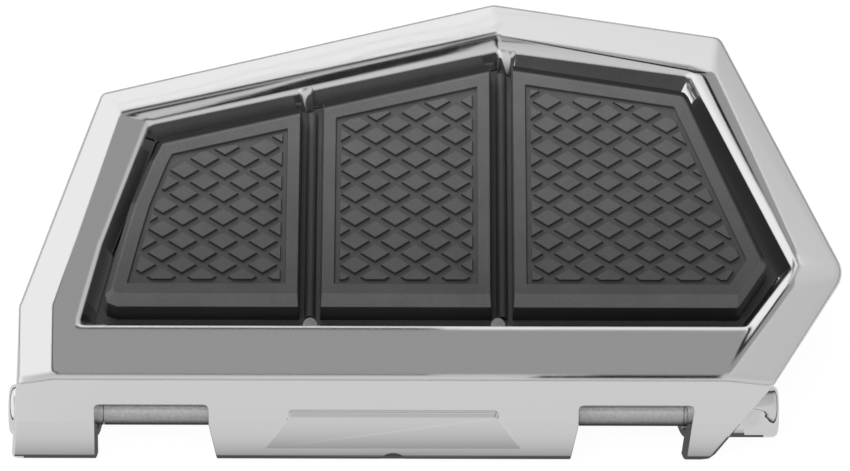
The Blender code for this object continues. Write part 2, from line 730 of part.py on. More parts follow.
def clipped(corners, kinds, limit, keep_above):
    """Cuts an outline along an X line. kinds says which edges are groove edges."""
    kept = []
    kept_kinds = []
    sign = 1.0 if keep_above else -1.0
    for index, corner in enumerate(corners):
        following = corners[(index + 1) % len(corners)]
        inside = sign * (corner.x - limit) >= 0.0
        next_inside = sign * (following.x - limit) >= 0.0
        if inside:
            kept.append(corner)
            kept_kinds.append(kinds[index])
        if inside != next_inside:
            share = (limit - corner.x) / (following.x - corner.x)
            kept.append(corner.lerp(following, share))
            kept_kinds.append(kinds[index] if next_inside else True)
    return kept, kept_kinds


def island_outlines():
    """Outline of each island, and which of its edges are groove edges."""
    half = GROOVE_WIDTH / 2
    cuts = [None, *[x * MM for x in GROOVE_X], None]
    islands = []
    for low, high in zip(cuts, cuts[1:]):
        outline = list(MAT)
        kinds = [False] * len(MAT)
        if low is not None:
            outline, kinds = clipped(outline, kinds, low + half, True)
        if high is not None:
            outline, kinds = clipped(outline, kinds, high - half, False)
        islands.append((outline, kinds))
    return islands


def island_radii(outline):
    """The mat's own corner radius, and a small one where a groove cuts the outline."""
    radii = []
    for point in outline:
        if point in MAT:
            radii.append(MAT_RADII[MAT.index(point)] * MM)
        else:
            radii.append(GROOVE_EDGE_ROUNDING)
    return radii


def less(radii, distance):
    return [max(radius - distance, SMALLEST_ROUNDING) for radius in radii]


def chamfer_widths(outline, kinds):
    """Width of the chamfer at each edge: narrower at the left and right sides, a rounding at a groove."""
    widths = []
    for index, groove in enumerate(kinds):
        along = outline[(index + 1) % len(outline)] - outline[index]
        if groove:
            widths.append(GROOVE_EDGE_ROUNDING)
        elif abs(along.x) < abs(along.y):
            widths.append(SIDE_CHAMFER_WIDTH)
        else:
            widths.append(CHAMFER_WIDTH)
    return widths


def island_model(outline, kinds):
    """Island of the tread: draughted sides, chamfer, flat border and the recessed field."""
    radii = island_radii(outline)
    steps = [2] * len(outline)
    chamfer = chamfer_widths(outline, kinds)
    border = [width + BORDER_WIDTH for width in chamfer]
    field = [width + FIELD_STEP for width in border]
    chamfer_z = [ISLAND_TOP_Z - CHAMFER_HEIGHT] * len(outline)
    rings = [
        level(inset_evenly(outline, -FIELD_STEP), MAT_BOTTOM_Z + WEB_THICKNESS / 2, radii, steps),
        rounded(outline, chamfer_z, radii, steps),
        level(inset(outline, chamfer), ISLAND_TOP_Z, less(radii, SIDE_CHAMFER_WIDTH), steps),
        level(inset(outline, border), ISLAND_TOP_Z, less(radii, CHAMFER_WIDTH), steps),
        level(inset(outline, field), ISLAND_TOP_Z - FIELD_DEPTH, less(radii, CHAMFER_WIDTH), steps),
    ]
    return loft(rings)


def clip_convex(points, outline):
    """Points of a convex shape that lie inside a clockwise convex outline."""
    for index, corner in enumerate(outline):
        along = outline[(index + 1) % len(outline)] - corner
        inwards = Vector((along.y, -along.x))
        kept = []
        for place, point in enumerate(points):
            following = points[(place + 1) % len(points)]
            here = (point - corner).dot(inwards)
            there = (following - corner).dot(inwards)
            if here >= 0.0:
                kept.append(point)
            if here * there < 0.0:
                kept.append(point.lerp(following, here / (here - there)))
        points = kept
        if len(points) < 3:
            return []
    return points


def area(points):
    total = 0.0
    for index, point in enumerate(points):
        total += points[index - 1].cross(point)
    return abs(total) / 2


def diamond_model(points):
    """A tread diamond: straight foot in the field and sloping sides."""
    middle = sum(points, Vector((0.0, 0.0))) / len(points)
    field_z = ISLAND_TOP_Z - FIELD_DEPTH
    foot_z = field_z - FIELD_DEPTH / 2
    shoulder_z = field_z + FIELD_STEP / 2
    rings = []
    for share, height in ((1.0, foot_z), (1.0, shoulder_z), (DIAMOND_TOP_SHARE, ISLAND_TOP_Z)):
        rings.append([Vector((*(middle + (point - middle) * share), height)) for point in points])
    return loft(rings)


def island_diamonds(outline, kinds, column_x):
    chamfer = chamfer_widths(outline, kinds)
    limits = inset(outline, [width + BORDER_WIDTH + DIAMOND_BORDER for width in chamfer])
    half_x = DIAMOND_PITCH_X / 2 * DIAMOND_SHARE
    half_y = DIAMOND_PITCH_Y / 2 * DIAMOND_SHARE
    left = min(point.x for point in limits)
    right = max(point.x for point in limits)
    front = min(point.y for point in limits)
    back = max(point.y for point in limits)
    models = []
    for shift in (0.0, 0.5):
        first_column = math.floor((left - column_x) / DIAMOND_PITCH_X) - 1
        last_column = math.ceil((right - column_x) / DIAMOND_PITCH_X) + 1
        first_row = math.floor((front - DIAMOND_ROW_Y) / DIAMOND_PITCH_Y) - 1
        last_row = math.ceil((back - DIAMOND_ROW_Y) / DIAMOND_PITCH_Y) + 1
        for column in range(first_column, last_column + 1):
            for row in range(first_row, last_row + 1):
                across = column_x + (column + shift) * DIAMOND_PITCH_X
                centre = Vector((across, DIAMOND_ROW_Y + (row - shift) * DIAMOND_PITCH_Y))
                points = [
                    centre + Vector((-half_x, 0.0)),
                    centre + Vector((0.0, half_y)),
                    centre + Vector((half_x, 0.0)),
                    centre + Vector((0.0, -half_y)),
                ]
                points = clip_convex(points, limits)
                if points and area(points) > SMALLEST_DIAMOND:
                    models.append(diamond_model(points))
    return models


def groove_ribs():
    """A rounded rib along the bottom of each groove."""
    outline = wall_ring(WEB_TOP_Z, GROOVE_RIB_WIDTH)
    half = GROOVE_RIB_WIDTH / 2
    models = []
    for place in GROOVE_X:
        middle = place * MM
        near, far = crossings(outline, 0, middle)
        ring = []
        for step in range(2 * ARC_STEPS + 1):
            angle = math.pi * step / (2 * ARC_STEPS)
            ring.append((middle - half * math.cos(angle), WEB_TOP_Z + GROOVE_RIB_HEIGHT * math.sin(angle)))
        low = WEB_TOP_Z - WEB_THICKNESS / 2
        ring += [(middle + half, low), (middle - half, low)]
        models.append(loft([[Vector((x, y, z)) for x, z in ring] for y in (near, far)]))
    return together(models)


def tread_mat():
    web = loft([wall_ring(MAT_BOTTOM_Z, 2 * GAP), wall_ring(WEB_TOP_Z, 2 * GAP)])
    mat = part_from("tread_mat", web, RUBBER)
    diamonds = []
    for number, (outline, kinds) in enumerate(island_outlines()):
        apply_tool(mat, tool_object(f"island_{number + 1}", island_model(outline, kinds)), "UNION")
        diamonds += island_diamonds(outline, kinds, DIAMOND_COLUMN_X[number] * MM)
    apply_tool(mat, tool_object("groove_ribs", groove_ribs()), "UNION")
    apply_tool(mat, tool_object("diamonds", together(diamonds)), "UNION")


def mat_plate():
    sheet = loft([wall_ring(PLATE_BOTTOM_Z, 2 * GAP), wall_ring(PLATE_TOP_Z, 2 * GAP)])
    plate = part_from("mat_plate", sheet, STEEL)
    holes = []
    for place in STUDS:
        radius = STUD_HEAD_DIAMETER / 2 + GAP
        holes.append(upright_cylinder(place, radius, PLATE_BOTTOM_Z - CUT, PLATE_TOP_Z + CUT, SMALL_SIDES))
    apply_tool(plate, tool_object("plate_holes", together(holes)), "DIFFERENCE")


def final_mesh(name, made):
    """Mesh of an object with its modifiers in it; the object goes."""
    bpy.context.view_layer.update()
    graph = bpy.context.evaluated_depsgraph_get()
    mesh = bpy.data.meshes.new_from_object(made.evaluated_get(graph))
    mesh.name = name
    bpy.data.objects.remove(made)
    return mesh


def stud_mesh():
    """Flush-head stud, pressed into the plate from above."""
    low = NUT_TOP_Z - NUT_HEIGHT - STUD_BEYOND_NUT
    shank = STUD_DIAMETER / 2
    profile = [
        (0.0, PLATE_TOP_Z),
        (STUD_HEAD_DIAMETER / 2, PLATE_TOP_Z),
        (STUD_HEAD_DIAMETER / 2, PLATE_BOTTOM_Z),
        (shank, PLATE_BOTTOM_Z),
        (shank, low + PIN_POINT_CHAMFER),
        (shank - PIN_POINT_CHAMFER, low),
        (0.0, low),
    ]
    made = turned("stud", profile, SMALL_SIDES, 0, TOOLS)
    return final_mesh("stud", made)


def nut_mesh():
    """Hexagon nut with a flange that bears on the boss under the floor."""
    bore = STUD_DIAMETER / 2 + GAP
    inside = (bore + NUT_ACROSS_FLATS / 2) / 2
    hexagon = NUT_ACROSS_FLATS / 2 / math.cos(math.pi / 6)
    bottom = NUT_TOP_Z - NUT_HEIGHT
    profile = [
        (NUT_FLANGE_RADIUS, NUT_TOP_Z),
        (NUT_FLANGE_RADIUS, NUT_TOP_Z - NUT_FLANGE_HEIGHT / 2),
        (NUT_ACROSS_FLATS / 2, NUT_TOP_Z - NUT_FLANGE_HEIGHT),
        (inside, NUT_TOP_Z - NUT_FLANGE_HEIGHT),
        (inside, NUT_TOP_Z),
    ]
    made = turned("nut", profile, SMALL_SIDES, 0, TOOLS)
    axis = (0.0, 0.0)
    six_sides = upright_cylinder(axis, hexagon, bottom, NUT_TOP_Z - GAP, 6)
    thread_hole = upright_cylinder(axis, bore, bottom - CUT, NUT_TOP_Z + CUT, SMALL_SIDES)
    hexagon_tool = tool_object("nut_hexagon", six_sides)
    bore_tool = tool_object("nut_bore", thread_hole)
    apply_tool(made, hexagon_tool, "UNION")
    apply_tool(made, bore_tool, "DIFFERENCE")
    mesh = final_mesh("nut", made)
    bpy.data.objects.remove(hexagon_tool)
    bpy.data.objects.remove(bore_tool)
    return mesh


def fasteners():
    stud = stud_mesh()
    nut = nut_mesh()
    for number, place in enumerate(STUDS, start=1):
        for name, mesh in ((f"mat_stud_{number}", stud), (f"mat_nut_{number}", nut)):
            made = place_mesh(name, mesh, ZINC)
            made.location = (place.x, place.y, 0.0)


def pivot_pin(side, hand):
    """Cap-head pin with a hexagon socket, and a groove for its clip at the tail."""
    radius = PIN_RADIUS
    head = PIN_HEAD_RADIUS
    seat = HEAD_SEAT + GAP
    top = seat + PIN_HEAD_HEIGHT
    tail = INNER_LUG_START - PIN_TAIL
    groove_top = CLIP_OUTER_FACE + GAP
    groove_bottom = CLIP_OUTER_FACE - CLIP_THICKNESS - GAP
    groove = radius - CLIP_GROOVE_DEPTH
    profile = [
        (0.0, top),
        (head - PIN_POINT_CHAMFER, top),
        (head, top - PIN_POINT_CHAMFER),
        (head, seat),
        (radius, seat),
        (radius, groove_top),
        (groove, groove_top),
        (groove, groove_bottom),
        (radius, groove_bottom),
        (radius, tail + PIN_POINT_CHAMFER),
        (radius - PIN_POINT_CHAMFER, tail),
        (0.0, tail),
    ]
    pin = turned_part(hand + "_pivot_pin", profile, ROUND_SIDES, side, ZINC)
    socket = bmesh.new()
    across = PIN_SOCKET_ACROSS_FLATS / math.cos(math.pi / 6)
    middle = Matrix.Translation((side * top, 0.0, 0.0)) @ Matrix.Rotation(math.pi / 2, 4, "Y")
    bmesh.ops.create_cone(
        socket,
        cap_ends=True,
        segments=6,
        radius1=across / 2,
        radius2=across / 2,
        depth=2 * PIN_SOCKET_DEPTH,
        matrix=middle,
    )
    apply_tool(pin, tool_object(hand + "_socket", socket), "DIFFERENCE")


def pivot_clip(side, hand):
    """Open ring in the pin's groove."""
    inner = PIN_RADIUS - CLIP_GROOVE_DEPTH + GAP
    start = CLIP_OUTER_FACE - CLIP_THICKNESS
    profile = tube_profile(inner, CLIP_RADIUS, start, CLIP_OUTER_FACE)
    clip = turned_part(hand + "_pivot_clip", profile, ROUND_SIDES, side, SPRING_STEEL)
    ends = sorted((side * (start - CUT), side * (CLIP_OUTER_FACE + CUT)))
    mouth = box((ends[0], -CLIP_MOUTH / 2, -CLIP_RADIUS - CUT), (ends[1], CLIP_MOUTH / 2, 0.0))
    apply_tool(clip, tool_object(hand + "_clip_mouth", mouth), "DIFFERENCE")


def hinge(side, hand):
    pivot_pin(side, hand)
    pivot_clip(side, hand)
    profile = tube_profile(PIN_BORE_RADIUS, SLEEVE_RADIUS, SLOT_INNER + GAP, SLEEVE_END)
    turned_part(hand + "_pivot_sleeve", profile, BARREL_SIDES, side, SLEEVE_STEEL)
    profile = tube_profile(PIN_BORE_RADIUS, SLEEVE_RADIUS, SLEEVE_END + GAP, SLOT_OUTER - GAP)
    turned_part(hand + "_spacer_ring", profile, BARREL_SIDES, side, SLEEVE_STEEL)
    profile = tube_profile(PIN_BORE_RADIUS, BUSH_RADIUS, INNER_LUG_START, SLOT_INNER)
    turned_part(hand + "_inner_bush", profile, ROUND_SIDES, side, BRONZE)
    profile = tube_profile(PIN_BORE_RADIUS, BUSH_RADIUS, SLOT_OUTER, SLOT_OUTER + OUTER_BUSH_LENGTH)
    turned_part(hand + "_outer_bush", profile, ROUND_SIDES, side, BRONZE)


def shade():
    """Round pieces are shaded smooth, with their real edges kept sharp."""
    for made in PARTS.objects:
        made.data.shade_smooth()
        made.data.set_sharp_from_angle(angle=math.radians(SHARP_DEG))


for old in list(bpy.data.objects):
    bpy.data.objects.remove(old)

PARTS = new_collection("floorboard")
TOOLS = new_collection("floorboard_tools")

CHROME = material("chromed_casting", (0.80, 0.80, 0.81), 1.0, 0.06)
RUBBER = material("moulded_rubber", (0.035, 0.036, 0.038), 0.0, 0.6)
STEEL = material("plate_steel", (0.35, 0.35, 0.36), 1.0, 0.4)
ZINC = material("zinc_plated_steel", (0.55, 0.55, 0.54), 1.0, 0.3)
SLEEVE_STEEL = material("drawn_steel", (0.42, 0.42, 0.42), 1.0, 0.42)
SPRING_STEEL = material("spring_steel", (0.30, 0.30, 0.31), 1.0, 0.35)
BRONZE = material("sintered_bronze", (0.45, 0.29, 0.14), 1.0, 0.45)

EDGE = in_metres(EDGE_CORNERS)
RIDGE = in_metres(RIDGE_CORNERS)
LIP = in_metres(LIP_CORNERS)
FRONT_LINE = [corner.x for corner in EDGE if corner.y == EDGE[0].y]
FRONT_LEFT_X = min(FRONT_LINE)
FRONT_RIGHT_X = max(FRONT_LINE)
MAT = in_metres(MAT_CORNERS)
STUDS = in_metres(STUD_PLACES)
EDGE_ARCS = [radius * MM for radius in EDGE_RADII]
RIDGE_ARCS = [radius * MM for radius in RIDGE_RADII]
LIP_ARCS = [radius * MM for radius in LIP_RADII]

frame_casting()
tread_mat()
mat_plate()
fasteners()
for hinge_side, hinge_hand in ((-1, "left"), (1, "right")):
    hinge(hinge_side, hinge_hand)
shade()
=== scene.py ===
"""Looks of the folding floorboard: chromed casting, rubber mat, steel hinge parts and a white studio."""

import json
import math

import bmesh
import bpy
from mathutils import Matrix, Vector


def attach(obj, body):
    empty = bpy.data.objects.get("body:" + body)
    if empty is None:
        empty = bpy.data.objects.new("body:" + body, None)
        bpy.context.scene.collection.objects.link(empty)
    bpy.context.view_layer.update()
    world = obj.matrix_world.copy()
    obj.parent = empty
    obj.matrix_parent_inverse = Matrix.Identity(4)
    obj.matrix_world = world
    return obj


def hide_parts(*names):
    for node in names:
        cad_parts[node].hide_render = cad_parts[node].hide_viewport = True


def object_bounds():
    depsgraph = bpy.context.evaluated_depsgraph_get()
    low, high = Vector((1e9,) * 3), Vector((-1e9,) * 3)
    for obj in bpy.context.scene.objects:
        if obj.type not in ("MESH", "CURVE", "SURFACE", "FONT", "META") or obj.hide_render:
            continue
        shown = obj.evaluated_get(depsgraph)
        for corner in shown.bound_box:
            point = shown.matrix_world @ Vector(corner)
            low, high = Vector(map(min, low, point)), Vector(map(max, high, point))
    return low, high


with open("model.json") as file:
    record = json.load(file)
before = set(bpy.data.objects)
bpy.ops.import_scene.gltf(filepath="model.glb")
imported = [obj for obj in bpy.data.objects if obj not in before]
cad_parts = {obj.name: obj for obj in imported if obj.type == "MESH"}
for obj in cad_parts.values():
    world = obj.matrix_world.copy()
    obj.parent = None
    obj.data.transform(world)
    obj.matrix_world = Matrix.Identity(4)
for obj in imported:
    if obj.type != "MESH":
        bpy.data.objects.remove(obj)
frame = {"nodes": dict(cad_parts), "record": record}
cad_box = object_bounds()

MM = 0.001
WHITE = (1.0, 1.0, 1.0, 1.0)

# Camera, worked out from the photograph: it looks down on the board from the front
ELEVATION_DEG = 54.0
ROLL_DEG = 0.137
DISTANCE = 2.14
FOCAL_PIXELS = 6694.0
IMAGE_WIDTH = 850.0
SENSOR_WIDTH = 36.0
AIM = Vector((9.8 * MM, 51.43 * MM, 24.0 * MM))

# Copies of the CAD meshes: corners this near are merged, and faces this level with each other are joined
MERGE_DISTANCE = 0.01 * MM
SAME_PLANE = math.radians(0.3)

# Faces whose normals point this far to the front are the skirt's, and above the angle edges between them
# stay sharp
FRONT_FACING = 0.93
FLAT_ANGLE = math.radians(1.5)

# Chrome: narrow edges on the skirt and the barrels, broad polished ones on the ring above
SKIRT_EDGE_Z = 20.0 * MM
RING_EDGE_Z = 23.5 * MM
SKIRT_EDGE_RADIUS = 0.5 * MM
RING_EDGE_RADIUS = 2.2 * MM
POLISHING_WAVE = 22.2 * MM
POLISHING_DEPTH = 0.06 * MM
WIPING_MARK = 6.25 * MM

# Rubber mat: heights of the diamonds' tops, the field between them, the chamfers' feet and the grooves'
# darkest painted shade, and the heights between which the painted shade on the back chamfers, darkest at the
# gap, ends
TREAD_TOP_Z = 26.5 * MM
TREAD_FIELD_Z = 25.7 * MM
CHAMFER_FOOT_Z = 24.9 * MM
GROOVE_SHADE_Z = 23.4 * MM
GAP_SHADE_DARK_Z = 25.8 * MM
GAP_SHADE_END_Z = 26.25 * MM
# The mat's painted light runs from its darkest near the hinge to its lightest at the back
MAT_FRONT_Y = 15.0 * MM
MAT_BACK_Y = 120.0 * MM
MOULDED_EDGE_RADIUS = 0.35 * MM
DUST_PATCH = 16.7 * MM
# A mould's real grain, about 0.1 mm, is too fine to show, so it is drawn coarser
MOULD_GRAIN = 0.667 * MM
MOULD_GRAIN_DEPTH = 0.15 * MM

# Steel and cast metal: size of the mottling, and the heights between which painted shade low on the hinge
# parts gives way to a painted highlight on their tops
HANDLING_MARK = 1.11 * MM
PAINTED_SHADE_Z = -0.8 * MM
PAINTED_HIGHLIGHT_Z = 4.4 * MM
PAINTED_HIGHLIGHT = 1.06

# Bosses that grow out of the casting's sloping wall, down to the mat's web, where the mat's two grooves end
MAT_WEB_Z = 18.3 * MM
SHARP_BOSS_EDGE = math.radians(30.0)
BOSS_CREASE = math.radians(40.0)
# In front half-round pads, wider at the foot and longer than they are wide
PAD_X = (-26.5 * MM, 33.0 * MM)
PAD_WALL_Y = 15.2 * MM
PAD_RADIUS = 2.5 * MM
PAD_FOOT_RADIUS = 2.875 * MM
PAD_STRETCH = 1.5
PAD_TOP_Z = 24.6 * MM
PAD_SIDES = 32
PAD_ROUNDING = 0.3 * MM
# Behind ramps: place, turn in degrees, width at the top and width at the foot
RAMPS = (
    (-29.2 * MM, 110.0 * MM, 15.1, 5.4 * MM, 3.2 * MM),
    (36.2 * MM, 125.5 * MM, -9.2, 6.6 * MM, 4.8 * MM),
)
RAMP_TOP_Z = 24.7 * MM
RAMP_REACH = 4.6 * MM
RAMP_ROOT = 1.5 * MM
RAMP_ROUNDING = 0.7 * MM

# Studio: height of the cards above the board, of the shades below it and of the floor
CARD_Z = 1.024
SHADE_Z = cad_box[0][2] - 0.3 * MM
FLOOR_Z = cad_box[0][2] - 0.5 * MM
FLOOR_HALF_WIDTH = 3.0
FLOOR_WHITE = 1.08
FLOOR_IN_MIRRORS = 0.74
FLOOR_GLOW_SHARE = 0.88


def linear(hex_colour):
    """Linear RGBA of an sRGB hex colour."""
    channels = []
    for start in (0, 2, 4):
        value = int(hex_colour[start : start + 2], 16) / 255
        channels.append(value / 12.92 if value <= 0.04045 else ((value + 0.055) / 1.055) ** 2.4)
    return (*channels, 1.0)


def add_node(tree, kind, settings=None, links=None):
    """Adds a node: settings are attributes or input values, links go from an input to what feeds it."""
    made = tree.nodes.new(kind)
    for name, value in (settings or {}).items():
        if isinstance(name, str) and hasattr(made, name):
            setattr(made, name, value)
        else:
            made.inputs[name].default_value = value
    for name, source in (links or {}).items():
        tree.links.new(source, made.inputs[name])
    return made


def blank_material(name):
    """Material without nodes, and its node tree."""
    made = bpy.data.materials.new(name)
    made.use_nodes = True
    made.node_tree.nodes.clear()
    return made, made.node_tree


def chrome_plate():
    """Bright chrome over a polished aluminium die casting: a mirror with rounded edges and slow waves from
    hand polishing, here and there a faint haze of wiping marks, and satin underneath where no wheel has
    been."""
    made, tree = blank_material("chrome_plate")
    coordinates = add_node(tree, "ShaderNodeTexCoord")
    place = coordinates.outputs["Object"]
    height = add_node(tree, "ShaderNodeSeparateXYZ", None, {0: place}).outputs["Z"]
    softness = add_node(
        tree,
        "ShaderNodeMapRange",
        {
            "From Min": SKIRT_EDGE_Z,
            "From Max": RING_EDGE_Z,
            "To Min": SKIRT_EDGE_RADIUS,
            "To Max": RING_EDGE_RADIUS,
        },
        {"Value": height},
    )
    rounded = add_node(tree, "ShaderNodeBevel", {"samples": 8}, {"Radius": softness.outputs["Result"]})
    waves = add_node(
        tree, "ShaderNodeTexNoise", {"Scale": 1.0 / POLISHING_WAVE, "Detail": 0.0}, {"Vector": place}
    )
    bump = add_node(
        tree,
        "ShaderNodeBump",
        {"Strength": 1.0, "Distance": POLISHING_DEPTH},
        {"Height": waves.outputs["Fac"], "Normal": rounded.outputs["Normal"]},
    )
    haze = add_node(
        tree, "ShaderNodeTexNoise", {"Scale": 1.0 / WIPING_MARK, "Detail": 4.0}, {"Vector": place}
    )
    wiped = add_node(
        tree,
        "ShaderNodeMapRange",
        {"From Min": 0.35, "From Max": 0.7, "To Min": 0.03, "To Max": 0.08},
        {"Value": haze.outputs["Fac"]},
    )
    turned = add_node(tree, "ShaderNodeSeparateXYZ", None, {0: coordinates.outputs["Normal"]})
    unpolished = add_node(
        tree,
        "ShaderNodeMapRange",
        {"From Min": -0.4, "From Max": -0.8, "To Max": 0.3},
        {"Value": turned.outputs["Z"]},
    )
    roughness = add_node(
        tree,
        "ShaderNodeMath",
        {"operation": "ADD"},
        {0: wiped.outputs["Result"], 1: unpolished.outputs["Result"]},
    )
    shader = add_node(
        tree,
        "ShaderNodeBsdfPrincipled",
        {"Base Color": linear("E6E6E7"), "Metallic": 1.0},
        {"Roughness": roughness.outputs[0], "Normal": bump.outputs["Normal"]},
    )
    add_node(tree, "ShaderNodeOutputMaterial", None, {"Surface": shader.outputs["BSDF"]})
    return made


def moulded_rubber():
    """Carbon-black rubber, compression moulded: matt and dark grey, with a fine grain from the mould and
    patches of dust. Light and shade are painted into its colour: painted shade in the field between the
    diamonds, in the grooves and on the steep walls, a painted sheen on the front chamfers, painted shade on
    the back chamfers down to the gap, and a painted light that grows away from the hinge."""
    made, tree = blank_material("moulded_rubber")
    coordinates = add_node(tree, "ShaderNodeTexCoord")
    place = coordinates.outputs["Object"]
    parts = add_node(tree, "ShaderNodeSeparateXYZ", None, {0: place})
    height = parts.outputs["Z"]
    turned = add_node(tree, "ShaderNodeSeparateXYZ", None, {0: coordinates.outputs["Normal"]})

    # Level faces: lighter on the diamonds, with painted shade in the field between them
    raised = add_node(
        tree, "ShaderNodeMapRange", {"From Min": TREAD_FIELD_Z, "From Max": TREAD_TOP_Z}, {"Value": height}
    )
    tread = add_node(
        tree,
        "ShaderNodeMix",
        {"data_type": "RGBA", 6: linear("3E3E3E"), 7: linear("494949")},
        {0: raised.outputs["Result"]},
    )

    # Chamfers: painted sheen in front, and at the back painted shade, darkest where they run down into the
    # gap
    backward = add_node(
        tree, "ShaderNodeMapRange", {"From Min": 0.0, "From Max": 0.2}, {"Value": turned.outputs["Y"]}
    )
    gap_shade_fade = add_node(
        tree, "ShaderNodeMapRange", {"From Min": GAP_SHADE_DARK_Z, "From Max": GAP_SHADE_END_Z}, {"Value": height}
    )
    painted_gap_shade = add_node(
        tree,
        "ShaderNodeMix",
        {"data_type": "RGBA", 6: linear("0C0C0C"), 7: linear("4A4A4A")},
        {0: gap_shade_fade.outputs["Result"]},
    )
    painted_chamfer_light = add_node(
        tree,
        "ShaderNodeMix",
        {"data_type": "RGBA", 6: linear("606060")},
        {0: backward.outputs["Result"], 7: painted_gap_shade.outputs[2]},
    )
    level = add_node(
        tree, "ShaderNodeMapRange", {"From Min": 0.94, "From Max": 0.99}, {"Value": turned.outputs["Z"]}
    )
    top = add_node(
        tree,
        "ShaderNodeMix",
        {"data_type": "RGBA"},
        {0: level.outputs["Result"], 6: painted_chamfer_light.outputs[2], 7: tread.outputs[2]},
    )

    # Grooves and steep walls: painted shade, darkest on the walls in front
    shallow = add_node(
        tree, "ShaderNodeMapRange", {"From Min": GROOVE_SHADE_Z, "From Max": CHAMFER_FOOT_Z}, {"Value": height}
    )
    lying = add_node(
        tree,
        "ShaderNodeMix",
        {"data_type": "RGBA", 6: linear("3C3C3C")},
        {0: shallow.outputs["Result"], 7: top.outputs[2]},
    )
    front_wall_shade = add_node(
        tree,
        "ShaderNodeMix",
        {"data_type": "RGBA", 6: linear("222222"), 7: linear("303030")},
        {0: shallow.outputs["Result"]},
    )
    forward = add_node(
        tree, "ShaderNodeMapRange", {"From Min": -0.4, "From Max": -0.7}, {"Value": turned.outputs["Y"]}
    )
    walls = add_node(
        tree,
        "ShaderNodeMix",
        {"data_type": "RGBA", 6: linear("404040")},
        {0: forward.outputs["Result"], 7: front_wall_shade.outputs[2]},
    )
    upward = add_node(
        tree, "ShaderNodeMapRange", {"From Min": 0.5, "From Max": 0.75}, {"Value": turned.outputs["Z"]}
    )
    clean = add_node(
        tree,
        "ShaderNodeMix",
        {"data_type": "RGBA"},
        {0: upward.outputs["Result"], 6: walls.outputs[2], 7: lying.outputs[2]},
    )

    # Dust in patches, a painted light that grows away from the hinge, and the mould's grain
    patches = add_node(
        tree,
        "ShaderNodeTexNoise",
        {"Scale": 1.0 / DUST_PATCH, "Detail": 6.0, "Roughness": 0.65},
        {"Vector": place},
    )
    dust = add_node(
        tree,
        "ShaderNodeMapRange",
        {"From Min": 0.3, "From Max": 0.75, "To Min": 0.9, "To Max": 1.15},
        {"Value": patches.outputs["Fac"]},
    )
    painted_light_gradient = add_node(
        tree,
        "ShaderNodeMapRange",
        {"From Min": MAT_FRONT_Y, "From Max": MAT_BACK_Y, "To Min": 0.6, "To Max": 1.6},
        {"Value": parts.outputs["Y"]},
    )
    dust_and_painted_light = add_node(
        tree,
        "ShaderNodeMath",
        {"operation": "MULTIPLY"},
        {0: dust.outputs["Result"], 1: painted_light_gradient.outputs["Result"]},
    )
    grain = add_node(
        tree, "ShaderNodeTexNoise", {"Scale": 1.0 / MOULD_GRAIN, "Detail": 2.0}, {"Vector": place}
    )
    grit = add_node(
        tree,
        "ShaderNodeMapRange",
        {"From Min": 0.3, "From Max": 0.7, "To Min": 0.92, "To Max": 1.08},
        {"Value": grain.outputs["Fac"]},
    )
    brightness = add_node(
        tree, "ShaderNodeMath", {"operation": "MULTIPLY"}, {0: dust_and_painted_light.outputs[0], 1: grit.outputs["Result"]}
    )
    colour = add_node(
        tree,
        "ShaderNodeVectorMath",
        {"operation": "SCALE"},
        {0: clean.outputs[2], "Scale": brightness.outputs[0]},
    )

    rounded = add_node(tree, "ShaderNodeBevel", {"samples": 6, "Radius": MOULDED_EDGE_RADIUS})
    bump = add_node(
        tree,
        "ShaderNodeBump",
        {"Strength": 0.25, "Distance": MOULD_GRAIN_DEPTH},
        {"Height": grain.outputs["Fac"], "Normal": rounded.outputs["Normal"]},
    )
    shader = add_node(
        tree,
        "ShaderNodeBsdfPrincipled",
        {"Roughness": 0.55, "IOR": 1.52, "Specular IOR Level": 0.32},
        {"Base Color": colour.outputs[0], "Normal": bump.outputs["Normal"]},
    )
    add_node(tree, "ShaderNodeOutputMaterial", None, {"Surface": shader.outputs["BSDF"]})
    return made


def as_cast_aluminium():
    """Die-cast aluminium left as cast, where the polishing wheel doesn't reach: even grey and satin."""
    made, tree = blank_material("as_cast_aluminium")
    place = add_node(tree, "ShaderNodeTexCoord").outputs["Object"]
    skin = add_node(
        tree, "ShaderNodeTexNoise", {"Scale": 1.0 / HANDLING_MARK, "Detail": 2.0}, {"Vector": place}
    )
    satin = add_node(
        tree, "ShaderNodeMapRange", {"To Min": 0.4, "To Max": 0.55}, {"Value": skin.outputs["Fac"]}
    )
    shader = add_node(
        tree,
        "ShaderNodeBsdfPrincipled",
        {"Base Color": linear("969696"), "Metallic": 1.0},
        {"Roughness": satin.outputs["Result"]},
    )
    add_node(tree, "ShaderNodeOutputMaterial", None, {"Surface": shader.outputs["BSDF"]})
    return made


